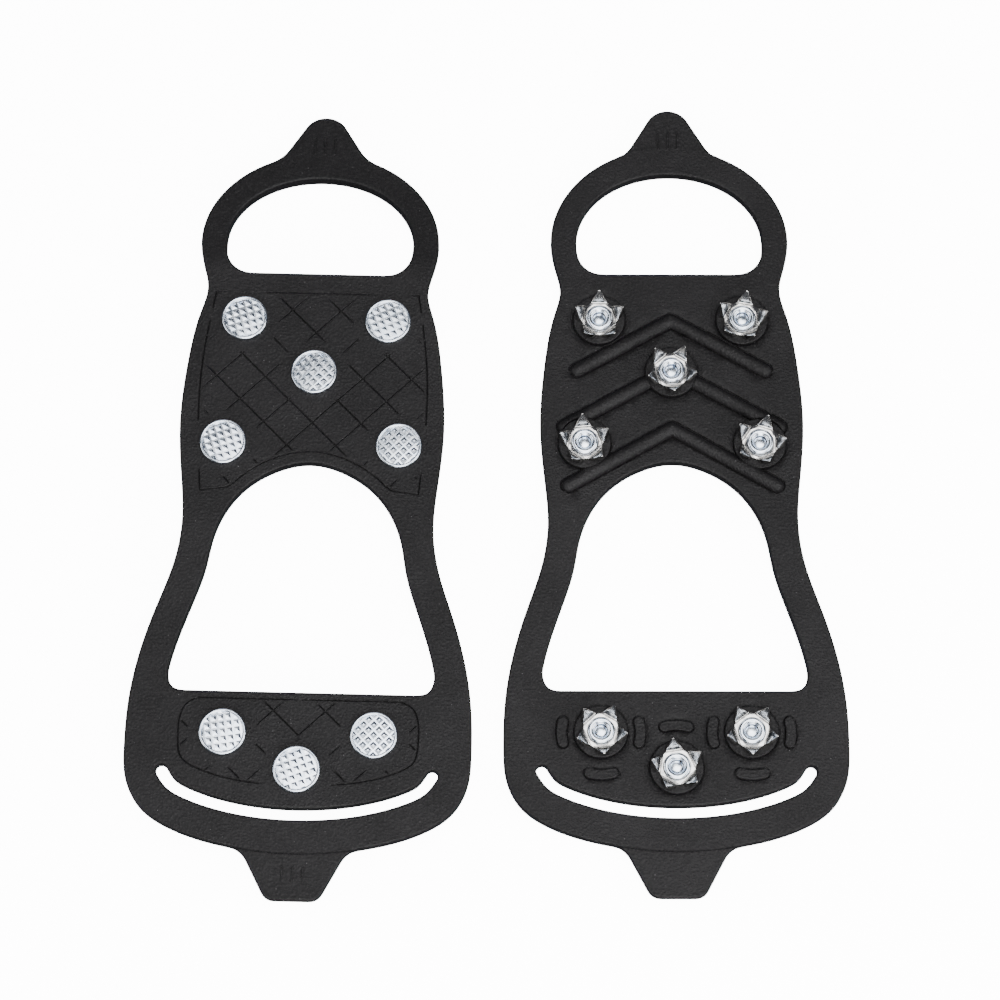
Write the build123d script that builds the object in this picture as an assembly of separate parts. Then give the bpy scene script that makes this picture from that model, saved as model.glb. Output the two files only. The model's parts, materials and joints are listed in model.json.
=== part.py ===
from build123d import *
import os

# A pair of slip-on ice cleats, in millimetres. Each cleat is designed shoe side up: X runs across it, +Y towards the
# heel tab, z = 0 is the ground face of the rubber sheet, and the local origin is beside the middle heel stud.

# --- Rubber sheet ---
SHEET = 3.5                    # thickness of the rubber sheet
HEEL_TAB_Z = (0.8, 3.5)        # the heel tab is stepped back on its ground face
TOE_TAB_Z = (0.6, 2.9)         # the toe tab is stepped back on both faces
HALF_OUTLINE = [               # right half of the outer edge, from the heel loop's crown to the toe
    (0, 64.4), (14, 61.6), (24.5, 54.3), (30, 45.5), (31.45, 37.6), (30.1, 29.4), (29, 24.2), (30.6, 16.8),
    (33.2, 3), (34.35, -14), (33.1, -29.6), (32.4, -38.6), (34, -51.8), (38, -64), (41.6, -76.5), (43.6, -89.5),
    (43.9, -99.5), (43.2, -107.8), (39.6, -115), (32, -120.3), (17, -124.8), (0, -126.4)]
HALF_HEEL_HOLE = [(0, 56.7), (12.2, 54.2), (20, 48.7), (24, 41.6), (24.6, 36.6), (23.4, 31.4), (20.2, 28.8), (16, 28.3)]
HALF_ARCH_HOLE = [(0, -24), (9, -26.2), (16, -30.7), (21.3, -37.4), (24.2, -45), (25.6, -52.4), (28.3, -61.3),
                  (31.3, -70), (33.4, -77.6), (33.7, -81.6), (32.2, -84.4), (29.4, -85.1)]
HALF_SLOT = [(0, -116.5), (13.8, -115.4), (22.8, -113.3), (28.2, -111.3), (31.6, -109.3), (34.1, -105.9)]
SLOT_WIDTH = 2.9
SLOT_STATIONS = 16             # steps along the slot's centre line when its two edges are laid out
HEEL_TAB_TIP_Y = 75.6
HEEL_TAB_TIP_R = 6.2
HEEL_TAB_BASE = (13.6, 59.0)   # right-hand corner of the heel tab's base, inside the loop
TOE_TAB_TIP = (6.6, -138.3)
TOE_TAB_BASE = (14.2, -124.0)
TOE_TAB_CORNER_R = 2.4

# --- Relief on the ground face ---
BOSS_DIAMETER = 13.6
BOSS_HEIGHT = 1.0
RIB_RADIUS = 2.05
RIB_SINK = 0.5                 # depth of the half-round rib's centre inside the sheet
RIBS = [((0, 15.1), (24.6, 1.3)), ((0, 1.5), (28, -14.3)), ((0, -14.8), (27, -30.3))]   # apex, right-hand end
DASH_WIDTH = 2.9
DASH_HEIGHT = 0.7
DASH_ARC = 34                  # degrees of ring that each dash covers
SIDE_DASH_RADIUS = 10.0
END_DASH_RADIUS = 11.0

# --- Studs: a rivet through the sheet and a star crown on each boss ---
STUDS = [(-18.8, 15.1), (18.8, 15.1), (0, 0.6), (-22.8, -19.1), (22.8, -19.1), (-19.1, -96), (19.1, -96), (0, -105.2)]
STUDS_ON_HEEL = 5              # the first five hold the heel pad, the rest the forefoot pad
HEAD_DIAMETER = 12.0
HEAD_HEIGHT = 1.4
HEAD_ROUND = 0.6
HEAD_RECESS = (5.2, 0.35)      # radius and depth of the knurled field
SHANK_RADIUS = 2.4
BORE_RADIUS = 1.8
BORE_DEPTH = 2.2
CURL_RADIUS = 3.4
CURL_HEIGHT = 0.8
CURL_ROUND = 0.4
CROWN_SHEET = 1.0              # thickness of the crown's steel
CROWN_TEETH = 5
CROWN_FLAT = 4.25              # from the centre to each bend line
TOOTH_HALF_WIDTH = 2.1
TOOTH_LENGTH = 4.0
TOOTH_TIP_HALF_WIDTH = 0.25
TOOTH_BEND = 53                # degrees that each tooth is bent out of the plate
TIP_RISE = 3.2                 # height of the tooth tips over the plate
CROWN_TURNS = {                # turn of each crown about its rivet, as the press left them
    "left": [8, 31, 50, 12, 64, 22, 40, 3],
    "right": [28.5, 18, 49, 35.5, 12.5, 55, 48, 8.6]}

# --- Flex lines, where the one rubber moulding bends ---
HEEL_FOLD_Y = 30.6
ARCH_FOLD_Y = -55.0
TOE_FOLD_Y = -107.0
FOLD_CLEARANCE = 2.4           # from a fold axis to the flat end of the zone that stays behind
FOLD_END_R = 1.73              # round end of the zone that folds, just under half the sheet
FOLD_STRIP = 0.05              # half width of the strip that finds the rails at a fold line

# --- Where the two cleats lie ---
PLACES = {"left": (-45.32, 30.7, -1.45), "right": (48.03, 32.09, -0.1)}   # x, y, turn in degrees
LEFT_LOOP_DROOP = 7.2          # the free heel loop sags until its tab rests on the ground

STACK = BOSS_HEIGHT + CROWN_SHEET + TIP_RISE     # rubber's ground face to the tooth tips
HEAD_TOP = SHEET + HEAD_HEIGHT
MID = SHEET / 2
FAR = 200.0


def both_sides(half):
    """The points of a symmetric curve from its right-hand half, left side first."""
    return [(-x, y) for x, y in reversed(half) if x != 0] + half


def closed_outline(half):
    return make_face(Spline(both_sides(half), periodic=True))


def hole_with_flat_end(half):
    """A hole whose last stretch, between the half outline's end and its mirror, is straight."""
    points = both_sides(half)
    return make_face([Spline(points), Line(points[-1], points[0])])


def between(face, y_low, y_high):
    """The part of a flat face between two y values."""
    return face & Pos(0, (y_low + y_high) / 2) * Rectangle(FAR, y_high - y_low)


def sheet_of(face):
    """The rubber sheet over a flat face."""
    return extrude(face, SHEET)


def heel_tab():
    x_base, y_base = HEEL_TAB_BASE
    centre = (0, HEEL_TAB_TIP_Y - HEEL_TAB_TIP_R)
    tip = Pos(*centre) * Circle(HEEL_TAB_TIP_R)
    side = make_hull((tip + Pos(0, y_base) * Rectangle(2 * x_base, 0.1)).edges())
    z_low, z_high = HEEL_TAB_Z
    return Pos(0, 0, z_low) * extrude(side, z_high - z_low)


def toe_tab():
    (x_tip, y_tip), (x_base, y_base) = TOE_TAB_TIP, TOE_TAB_BASE
    outline = Polyline((-x_base, y_base), (-x_tip, y_tip), (x_tip, y_tip), (x_base, y_base), close=True)
    face = make_face(outline)
    face = fillet(face.vertices().group_by(Axis.Y)[0], TOE_TAB_CORNER_R)
    z_low, z_high = TOE_TAB_Z
    return Pos(0, 0, z_low) * extrude(face, z_high - z_low)


def slot_face():
    """The curved slot over the toe: two edges beside one centre line, and two round ends."""
    centre_line = Spline(both_sides(HALF_SLOT))
    upper = []
    lower = []
    for station in range(SLOT_STATIONS + 1):
        share = station / SLOT_STATIONS
        side = (centre_line % share).rotate(Axis.Z, 90) * (SLOT_WIDTH / 2)
        upper.append(centre_line @ share + side)
        lower.append(centre_line @ share - side)
    ends = []
    for share, sign in ((0, -1), (1, 1)):
        tip = centre_line @ share + (centre_line % share) * (sign * SLOT_WIDTH / 2)
        ends.append(ThreePointArc(upper[-share], tip, lower[-share]))
    return make_face([Spline(upper), Spline(lower)] + ends)


def sheet_face():
    """The moulding's flat outline, with its two openings and its slot."""
    face = closed_outline(HALF_OUTLINE)
    face -= hole_with_flat_end(HALF_HEEL_HOLE)
    face -= hole_with_flat_end(HALF_ARCH_HOLE)
    return face - slot_face()


def chevron_rib(apex, end):
    """A half-round V rib with rounded ends, half sunk into the sheet."""
    rib = Pos(*apex, RIB_SINK) * Sphere(RIB_RADIUS)
    for x in (-end[0], end[0]):
        start = Vector(*apex, RIB_SINK)
        stop = Vector(x, end[1], RIB_SINK)
        run = stop - start
        rib += Plane(start + run * 0.5, z_dir=run) * Cylinder(RIB_RADIUS, run.length)
        rib += Pos(stop) * Sphere(RIB_RADIUS)
    return rib


def dash(centre, radius, direction):
    """A low curved dash on a ring about a stud."""
    arc = CenterArc(centre, radius, direction - DASH_ARC / 2, DASH_ARC)
    return Pos(0, 0, -DASH_HEIGHT) * extrude(SlotArc(arc, DASH_WIDTH), DASH_HEIGHT + MID)


def with_bosses(shape, studs):
    """Add a round boss under each stud, level on top where a rib runs into it, and its shank's hole."""
    for x, y in studs:
        shape -= Pos(x, y, -FAR / 2) * Cylinder(BOSS_DIAMETER / 2, FAR)
        shape += Pos(x, y, (MID - BOSS_HEIGHT) / 2) * Cylinder(BOSS_DIAMETER / 2, MID + BOSS_HEIGHT)
        shape -= Pos(x, y, 0) * Cylinder(SHANK_RADIUS, FAR)
    return shape


def round_ends(face, fold_y):
    """A round bar along the fold axis across each rail that the fold line cuts."""
    bars = []
    for cut in between(face, fold_y - FOLD_STRIP, fold_y + FOLD_STRIP).faces():
        box = cut.bounding_box()
        bar = Rot(0, 90, 0) * Cylinder(FOLD_END_R, box.size.X)
        bars.append(Pos(box.center().X, fold_y, MID) * bar)
    return bars


def rubber_zones():
    """The moulding, divided at its flex lines into the four zones that bend against each other."""
    face = sheet_face()
    heel_studs = STUDS[:STUDS_ON_HEEL]
    left_stud, right_stud, front_stud = STUDS[STUDS_ON_HEEL:]

    loop = sheet_of(between(face, HEEL_FOLD_Y, FAR)) + heel_tab()
    for bar in round_ends(face, HEEL_FOLD_Y):
        loop += bar

    heel = sheet_of(between(face, ARCH_FOLD_Y + FOLD_CLEARANCE, HEEL_FOLD_Y - FOLD_CLEARANCE))
    for apex, end in RIBS:
        heel += chevron_rib(apex, end)
    heel = with_bosses(heel, heel_studs)

    strap_top = TOE_FOLD_Y + FOLD_CLEARANCE
    below = between(face, -FAR, strap_top).faces().sort_by(lambda piece: piece.bounding_box().size.X)
    tongue, strap_face = below[0], below[-1]
    forefoot = sheet_of(between(face, strap_top, ARCH_FOLD_Y) + tongue)
    for bar in round_ends(face, ARCH_FOLD_Y):
        forefoot += bar
    forefoot = with_bosses(forefoot, [left_stud, right_stud, front_stud])
    for stud in (left_stud, right_stud):
        forefoot += dash(stud, SIDE_DASH_RADIUS, 0)
        forefoot += dash(stud, SIDE_DASH_RADIUS, 180)
        forefoot += dash(stud, END_DASH_RADIUS, 270)
    forefoot += dash(front_stud, END_DASH_RADIUS, 90)

    strap = sheet_of(between(strap_face, -FAR, TOE_FOLD_Y)) + toe_tab()
    for bar in round_ends(strap_face, TOE_FOLD_Y):
        strap += bar
    return {"heel_loop": loop, "heel_pad": heel, "forefoot_pad": forefoot, "toe_strap": strap}


def rivet():
    """A semi-tubular rivet: head on the shoe side, shank through the sheet, rolled end over the crown."""
    plate_z = -BOSS_HEIGHT - CROWN_SHEET
    end_z = plate_z - CURL_HEIGHT
    head_r = HEAD_DIAMETER / 2
    recess_r, recess_depth = HEAD_RECESS
    profile = Polyline(
        (0, HEAD_TOP - recess_depth), (recess_r, HEAD_TOP - recess_depth), (recess_r, HEAD_TOP),
        (head_r - HEAD_ROUND, HEAD_TOP), (head_r, HEAD_TOP - HEAD_ROUND), (head_r, SHEET), (SHANK_RADIUS, SHEET),
        (SHANK_RADIUS, plate_z), (CURL_RADIUS, plate_z), (CURL_RADIUS, end_z + CURL_ROUND),
        (CURL_RADIUS - CURL_ROUND, end_z),
        (BORE_RADIUS, end_z), (BORE_RADIUS, end_z + BORE_DEPTH), (0, end_z + BORE_DEPTH), close=True)
    return revolve(make_face(Plane.XZ * profile), Axis.Z)


def crown():
    """A stamped star crown: a flat plate on the boss, with five teeth bent away from the rubber."""
    plate_low = -BOSS_HEIGHT - CROWN_SHEET
    corners = []
    for index in range(CROWN_TEETH):
        turn = index * 360 / CROWN_TEETH
        corners.append(Vector(CROWN_FLAT, -TOOTH_HALF_WIDTH).rotate(Axis.Z, turn))
        corners.append(Vector(CROWN_FLAT, TOOTH_HALF_WIDTH).rotate(Axis.Z, turn))
    shape = Pos(0, 0, plate_low) * extrude(make_face(Polyline(*corners, close=True)), CROWN_SHEET)
    blade_face = make_face(Polyline(
        (0, -TOOTH_HALF_WIDTH), (TOOTH_LENGTH, -TOOTH_TIP_HALF_WIDTH), (TOOTH_LENGTH, TOOTH_TIP_HALF_WIDTH),
        (0, TOOTH_HALF_WIDTH), close=True))
    blade = extrude(blade_face, CROWN_SHEET)
    hinge_bar = Rot(90, 0, 0) * Cylinder(CROWN_SHEET, 2 * TOOTH_HALF_WIDTH)
    corner = hinge_bar & Pos(CROWN_SHEET / 2, 0, CROWN_SHEET / 2) * Box(CROWN_SHEET, FAR, CROWN_SHEET)
    tooth = Pos(CROWN_FLAT, 0, plate_low) * (Rot(0, TOOTH_BEND, 0) * blade + corner)
    tooth &= Pos(0, 0, FAR / 2 - STACK) * Box(FAR, FAR, FAR)     # the tips are cropped level
    for index in range(CROWN_TEETH):
        shape += Rot(0, 0, index * 360 / CROWN_TEETH) * tooth
    return shape - Cylinder(SHANK_RADIUS, FAR)


def stand(shape, side):
    """Move a cleat's piece from its design frame to where that cleat lies."""
    x, y, turn = PLACES[side]
    if side == "left":
        return Pos(x, y, STACK) * Rot(0, 0, turn) * shape
    return Pos(x, y, HEAD_TOP) * Rot(0, 0, turn) * Rot(0, 180, 0) * shape


def droop(shape):
    """Turn the left heel loop down about its fold axis until it rests on the ground."""
    return Pos(0, HEEL_FOLD_Y, MID) * Rot(-LEFT_LOOP_DROOP, 0, 0) * Pos(0, -HEEL_FOLD_Y, -MID) * shape


os.makedirs("parts", exist_ok=True)
ZONES = rubber_zones()
RIVET = rivet()
CROWN = crown()
everything = []
for side in PLACES:
    for name, zone in ZONES.items():
        if side == "left" and name == "heel_loop":
            zone = droop(zone)
        placed = stand(zone, side)
        everything.append(placed)
        export_step(placed, f"parts/{side}_{name}.step")
    for number, (x, y) in enumerate(STUDS):
        stud_rivet = stand(Pos(x, y, 0) * RIVET, side)
        stud_crown = stand(Pos(x, y, 0) * Rot(0, 0, CROWN_TURNS[side][number]) * CROWN, side)
        everything += [stud_rivet, stud_crown]
        export_step(stud_rivet, f"parts/{side}_rivet_{number + 1}.step")
        export_step(stud_crown, f"parts/{side}_star_{number + 1}.step")
    for label, fold_y in (("heel fold", HEEL_FOLD_Y), ("arch fold", ARCH_FOLD_Y), ("toe fold", TOE_FOLD_Y)):
        point = stand(Pos(0, fold_y, MID), side).position
        print(side, label, "axis passes", round(point.X, 3), round(point.Y, 3), round(point.Z, 3))

box = Compound(children=everything).bounding_box()
print("pair's box", box.min, box.max)
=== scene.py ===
# %% [markdown]
# # Shoe ice cleats, a pair
# Two slip-on ice cleats lie side by side: the left one shoe side up, the right one ground side up. Each
# is one black rubber moulding with eight knurled rivets, and each rivet clamps a five-toothed steel star
# on the ground side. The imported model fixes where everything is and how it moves. This script makes the
# finished surfaces around it. All shapes are drawn once, in millimetres, in the frame of one cleat: X
# across, +Y towards the heel tab, z = 0 on the ground face of the rubber sheet and z = 3.5 on its shoe
# face. Each cleat's own matrix then lays them in place.

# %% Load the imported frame
import json
import math

import bmesh
import bpy
import numpy as np
from mathutils import Matrix, Vector
from mathutils.geometry import delaunay_2d_cdt


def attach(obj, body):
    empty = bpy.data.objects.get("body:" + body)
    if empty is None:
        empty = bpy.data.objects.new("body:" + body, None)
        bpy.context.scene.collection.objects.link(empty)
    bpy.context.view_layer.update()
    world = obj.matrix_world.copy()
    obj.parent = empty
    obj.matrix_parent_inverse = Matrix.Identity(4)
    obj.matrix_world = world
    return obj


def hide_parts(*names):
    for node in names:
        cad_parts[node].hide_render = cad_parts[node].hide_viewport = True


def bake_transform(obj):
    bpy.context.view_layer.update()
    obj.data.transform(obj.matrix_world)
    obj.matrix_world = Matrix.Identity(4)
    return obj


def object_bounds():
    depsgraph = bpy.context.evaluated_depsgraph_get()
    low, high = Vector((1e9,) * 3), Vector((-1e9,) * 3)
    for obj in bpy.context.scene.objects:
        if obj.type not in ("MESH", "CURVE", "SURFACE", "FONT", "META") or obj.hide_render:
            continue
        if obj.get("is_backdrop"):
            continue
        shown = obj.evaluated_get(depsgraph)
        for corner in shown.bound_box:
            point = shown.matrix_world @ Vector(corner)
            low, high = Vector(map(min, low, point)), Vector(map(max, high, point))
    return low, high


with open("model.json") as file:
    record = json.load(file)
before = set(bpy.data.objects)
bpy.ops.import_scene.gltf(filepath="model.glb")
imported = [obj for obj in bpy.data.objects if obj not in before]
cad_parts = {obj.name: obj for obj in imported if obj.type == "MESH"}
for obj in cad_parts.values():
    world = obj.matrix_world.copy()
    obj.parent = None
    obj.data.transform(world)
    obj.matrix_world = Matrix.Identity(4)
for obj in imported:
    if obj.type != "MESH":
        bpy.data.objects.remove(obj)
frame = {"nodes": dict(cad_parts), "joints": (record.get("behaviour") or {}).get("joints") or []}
cad_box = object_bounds()
JOINTS = {joint["name"]: joint for joint in frame["joints"]}
MM = 0.001

# %% [markdown]
# ## Camera
# The pair is seen almost straight down, from a little towards the toe ends, with a long lens, so the two
# cleats keep nearly their true outlines. Only its tilt is turned, so the room's X axis stays level in the
# view.

# %% Place the camera
VIEW_TILT = math.radians(17.2)         # from straight down
VIEW_DISTANCE = 0.857
VIEW_TARGET = Vector((0.00318, -0.00074, 0))
LENS_MM = 118.4
SENSOR_MM = 36

camera_data = bpy.data.cameras.new("camera")
camera_data.lens = LENS_MM
camera_data.sensor_width = SENSOR_MM
camera = bpy.data.objects.new("camera", camera_data)
camera.location = VIEW_TARGET + VIEW_DISTANCE * Vector((0, -math.sin(VIEW_TILT), math.cos(VIEW_TILT)))
camera.rotation_euler = (VIEW_TILT, 0, 0)
bpy.context.scene.collection.objects.link(camera)
bpy.context.scene.camera = camera
print("camera at", tuple(round(c, 3) for c in camera.location))

# %% [markdown]
# ## Where each cleat lies
# The heel fold's joint gives a point and the cross direction of each cleat, which is enough to know how
# it lies. The right cleat is turned over about its long axis. `place` takes a point of the drawing, in
# mm, to the room, in m.

# %% Lay out the two cleats
HEEL_FOLD_Y = 30.6
SHEET = 3.5                            # thickness of the rubber


def place_of(side):
    joint = JOINTS[f"{side}_heel_loop_fold"]
    across = Vector(joint["axis"])
    turn = Matrix.Rotation(math.atan2(across.y, across.x), 4, "Z")
    flip = Matrix.Rotation(math.pi if side == "right" else 0, 4, "Y")
    to_fold = Matrix.Translation((0, -HEEL_FOLD_Y, -SHEET / 2))
    return Matrix.Translation(joint["pos_m"]) @ turn @ flip @ Matrix.Scale(MM, 4) @ to_fold


PLACE = {side: place_of(side) for side in ("left", "right")}
for side, place in PLACE.items():
    print(side, "cleat's origin lies at", tuple(round(c * 1000, 2) for c in place.translation), "mm")

# %% [markdown]
# ## Outlines
# The moulding's edge is a smooth curve through a few points. A cubic spline keeps its bend continuous, as
# the milled mould does. Only the right half is written down and the left half mirrors it.

# %% A smooth curve through a few points
HALF_OUTLINE = [
    (0, 64.4), (14, 61.6), (24.5, 54.3), (30, 45.5), (31.45, 37.6), (30.1, 29.4), (29, 24.2), (30.6, 16.8),
    (33.2, 3), (34.35, -14), (33.1, -29.6), (32.4, -38.6), (34, -51.8), (38, -64), (41.6, -76.5),
    (43.6, -89.5), (43.9, -99.5), (43.2, -107.8), (39.6, -115), (32, -120.3), (17, -124.8), (0, -126.4)]
HALF_HEEL_HOLE = [
    (0, 56.7), (12.2, 54.2), (20, 48.7), (24, 41.6), (24.6, 36.6), (23.4, 31.4), (20.2, 28.8), (16, 28.3)]
HALF_ARCH_HOLE = [
    (0, -24), (9, -26.2), (16, -30.7), (21.3, -37.4), (24.2, -45), (25.6, -52.4), (28.3, -61.3),
    (31.3, -70), (33.4, -77.6), (33.7, -81.6), (32.2, -84.4), (29.4, -85.1)]
HALF_SLOT = [(0, -116.5), (13.8, -115.4), (22.8, -113.3), (28.2, -111.3), (31.6, -109.3), (34.1, -105.9)]
SLOT_WIDTH = 2.9
EDGE_STEP = 1.1                        # mm between points along an edge


def both_sides(half):
    return [(-x, y) for x, y in reversed(half) if x != 0] + list(half)


def smooth_curve(points, closed=False, step=EDGE_STEP):
    """The cubic spline through the points, sampled about every step mm."""
    p = np.array(points, float)
    if closed:
        p = np.vstack([p, p[:1]])
    gap = np.linalg.norm(np.diff(p, axis=0), axis=1)
    count = len(p)
    rows = np.zeros((count, count))
    wanted = np.zeros((count, 2))
    for i in range(1, count - 1):
        rows[i, i - 1:i + 2] = gap[i - 1], 2 * (gap[i - 1] + gap[i]), gap[i]
        wanted[i] = 6 * ((p[i + 1] - p[i]) / gap[i] - (p[i] - p[i - 1]) / gap[i - 1])
    if closed:
        rows[0, 0], rows[0, -1] = 1, -1
        rows[-1, 0], rows[-1, 1], rows[-1, -2], rows[-1, -1] = 2 * gap[0], gap[0], gap[-1], 2 * gap[-1]
        wanted[-1] = 6 * ((p[1] - p[0]) / gap[0] - (p[-1] - p[-2]) / gap[-1])
    else:
        rows[0, 0] = rows[-1, -1] = 1
    bend = np.linalg.solve(rows, wanted)
    samples = []
    for i in range(count - 1):
        for b in np.linspace(0, 1, max(1, round(gap[i] / step)), endpoint=False):
            a = 1 - b
            swing = ((a ** 3 - a) * bend[i] + (b ** 3 - b) * bend[i + 1]) * gap[i] ** 2 / 6
            samples.append(a * p[i] + b * p[i + 1] + swing)
    if not closed:
        samples.append(p[-1])
    return np.array(samples)


def arc(centre, radius, start, stop, steps):
    """Points on a circle, angles in degrees."""
    turn = np.radians(np.linspace(start, stop, steps))
    return np.array(centre) + radius * np.stack([np.cos(turn), np.sin(turn)], axis=1)


base_edge = smooth_curve(both_sides(HALF_OUTLINE), closed=True)
heel_hole = smooth_curve(both_sides(HALF_HEEL_HOLE))
arch_hole = smooth_curve(both_sides(HALF_ARCH_HOLE))
print("edge points", len(base_edge), len(heel_hole), len(arch_hole))

# %% [markdown]
# ## Pull tabs
# Each end has a tab to pull it over the shoe. A tab's straight sides run into the loop's edge with a
# small fillet, so no sharp corner starts a tear. The fillet is a quadratic curve from the tab's side to
# the loop's edge.

# %% Draw the outer edge with its two tabs
HEEL_TIP_CENTRE = (0.0, 69.4)
HEEL_TIP_RADIUS = 6.2
HEEL_TAB_CORNER = (13.6, 59.0)
TOE_TIP = (6.6, -138.3)
TOE_TAB_CORNER = (14.2, -124.0)
TOE_TIP_ROUND = 2.4
TAB_FILLET = 3.2


def straight(a, b, step=EDGE_STEP):
    a, b = np.array(a, float), np.array(b, float)
    steps = max(1, round(np.linalg.norm(b - a) / step))
    return a + (b - a) * np.linspace(0, 1, steps + 1)[:, None]


def crossing(a, b, curve):
    """Where the line from a to b meets the curve: the next sample's number, and the point."""
    for i in range(len(curve) - 1):
        p, q = curve[i], curve[i + 1]
        run = np.array([b - a, p - q]).T
        if abs(np.linalg.det(run)) > 1e-9:
            s, u = np.linalg.solve(run, p - a)
            if 0 <= s <= 1 and 0 <= u <= 1:
                return i + 1, p + u * (q - p)
    raise ValueError("a tab misses the loop's edge")


def filleted(tab_end, corner, curve):
    """The tab's straight side, its fillet, and the curve beyond it. The curve starts at the tab's middle."""
    tab_end, corner = np.array(tab_end, float), np.array(corner, float)
    after, meet = crossing(tab_end, corner, curve)
    back = (tab_end - meet) / np.linalg.norm(tab_end - meet)
    first = meet + TAB_FILLET * back
    last = after + round(TAB_FILLET / EDGE_STEP)
    s = np.linspace(0, 1, 8)[:, None]
    fillet = (1 - s) ** 2 * first + 2 * s * (1 - s) * meet + s ** 2 * curve[last]
    return np.vstack([straight(tab_end, first)[:-1], fillet, curve[last + 1:]])


def outer_edge():
    """The right half from the heel tab's tip to the toe tab's tip, then its mirror, as one closed loop."""
    start = int(np.argmin(np.hypot(base_edge[:, 0], base_edge[:, 1] - HALF_OUTLINE[0][1])))
    half = np.roll(base_edge, -start, axis=0)
    half = half[:int(np.argmin(np.hypot(half[:, 0], half[:, 1] - HALF_OUTLINE[-1][1]))) + 1]
    reach = np.hypot(HEEL_TAB_CORNER[0], HEEL_TAB_CORNER[1] - HEEL_TIP_CENTRE[1])
    lean = math.atan2(HEEL_TAB_CORNER[1] - HEEL_TIP_CENTRE[1], HEEL_TAB_CORNER[0])
    touch = math.degrees(lean + math.acos(HEEL_TIP_RADIUS / reach))
    tip = arc(HEEL_TIP_CENTRE, HEEL_TIP_RADIUS, 90, touch, 12)
    half = np.vstack([tip[:-1], filleted(tip[-1], HEEL_TAB_CORNER, half)])
    side = np.array(TOE_TAB_CORNER) - np.array(TOE_TIP)
    inner = np.array(TOE_TIP) + side / np.linalg.norm(side) * TOE_TIP_ROUND
    half = filleted(inner, TOE_TAB_CORNER, half[::-1])[::-1]
    s = np.linspace(0, 1, 6)[1:, None]
    flat = np.array(TOE_TIP) - (TOE_TIP_ROUND, 0)
    corner = (1 - s) ** 2 * inner + 2 * s * (1 - s) * np.array(TOE_TIP) + s ** 2 * flat
    half = np.vstack([half, corner, straight(flat, (0, TOE_TIP[1]))[1:]])
    return np.vstack([half, (half * (-1, 1))[::-1][1:-1]])


outer = outer_edge()
low_y, high_y = outer[:, 1].min(), outer[:, 1].max()
print("outer edge", len(outer), "points, from y", low_y.round(1), "to", high_y.round(1))

# %% [markdown]
# ## Slot over the toe
# The toe strap is parted from the forefoot pad by a long curved slot of one width with round ends. Its
# two edges are the centre line pushed out by half the width, and each end is a half circle.

# %% Draw the slot
slot_line = smooth_curve(both_sides(HALF_SLOT))


def sideways(curve, closed=False):
    """Unit vectors to the left of a curve's run at each of its points."""
    ahead = np.roll(curve, -1, axis=0) - np.roll(curve, 1, axis=0)
    if not closed:
        ahead[0], ahead[-1] = curve[1] - curve[0], curve[-1] - curve[-2]
    left = np.stack([-ahead[:, 1], ahead[:, 0]], axis=1)
    return left / np.linalg.norm(left, axis=1)[:, None]


def band(curve, half_width, end_steps=10):
    """The closed outline of a round-ended band about an open curve."""
    left = sideways(curve)
    lean = [math.degrees(math.atan2(v[1], v[0])) for v in (left[0], left[-1])]
    return np.vstack([
        curve + half_width * left,
        arc(curve[-1], half_width, lean[1], lean[1] - 180, end_steps)[1:-1],
        (curve - half_width * left)[::-1],
        arc(curve[0], half_width, lean[0] + 180, lean[0], end_steps)[1:-1]])


slot = band(slot_line, SLOT_WIDTH / 2)


def turned(loop, direction):
    """The loop, run anticlockwise for direction 1 and clockwise for -1."""
    x, y = loop[:, 0], loop[:, 1]
    area = np.sum(x * np.roll(y, -1) - np.roll(x, -1) * y)
    return loop if area * direction > 0 else loop[::-1]


edges = [turned(outer, 1)] + [turned(hole, -1) for hole in (heel_hole, arch_hole, slot)]
print("loops of", [len(loop) for loop in edges], "points")

# %% [markdown]
# ## Relief on the ground face
# Half-round chevron ribs, round bosses under the studs and short curved dashes grip the ice. Each kind of
# relief has a profile: its height at a distance from its own line or centre. Rings of points at set
# distances go into the mesh, so that the profile's curve is really there and not only painted by a bump
# map.

# %% Ribs, bosses and dashes
STUDS = [
    (-18.8, 15.1), (18.8, 15.1), (0, 0.6), (-22.8, -19.1), (22.8, -19.1),
    (-19.1, -96), (19.1, -96), (0, -105.2)]
RIBS = [((0, 15.1), (24.6, 1.3)), ((0, 1.5), (28, -14.3)), ((0, -14.8), (27, -30.3))]
RIB_RADIUS = 2.05
RIB_SINK = 0.5
RIB_RINGS = (0.6, 1.1, 1.5, 1.75, 1.9, 1.985, 2.03, 2.35)
RIB_FOOT = 1.99                        # half width of a rib where it meets the sheet
BOSS_HEIGHT = 1.0
BOSS_RINGS = (6.3, 6.5, 6.6, 6.7, 6.77, 6.8, 6.86, 7.15)
BOSS_TOP_R, BOSS_SIDE_R = 6.5, 6.8
DASH_HEIGHT = 0.7
DASH_RINGS = (0.9, 1.03, 1.15, 1.25, 1.31, 1.33, 1.38, 1.68)
DASH_TOP, DASH_SIDE = 1.03, 1.33
DASH_ARC = 32                          # degrees of a ring about the stud
DASHES_AT = ((10.0, 0), (10.0, 180), (11.0, 270))      # ring radius and bearing, about each side stud
CREASE_WIDTH = 0.36                    # a fine crease runs round the foot of each rib, boss and dash
CREASE_DEPTH = 0.28


def rounded_step(distance, top, side, height):
    """A plateau that is level out to top, rounds over to side and then drops straight down."""
    radius = side - top
    over = np.clip(distance - top, 0, radius)
    level = height - radius + np.sqrt(radius ** 2 - over ** 2)
    return np.where(distance <= side + 1e-6, level, 0.0)


def rib_profile(distance):
    return np.sqrt(np.clip(RIB_RADIUS ** 2 - distance ** 2, RIB_SINK ** 2, None)) - RIB_SINK


def boss_profile(distance):
    return rounded_step(distance, BOSS_TOP_R, BOSS_SIDE_R, BOSS_HEIGHT)


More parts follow.
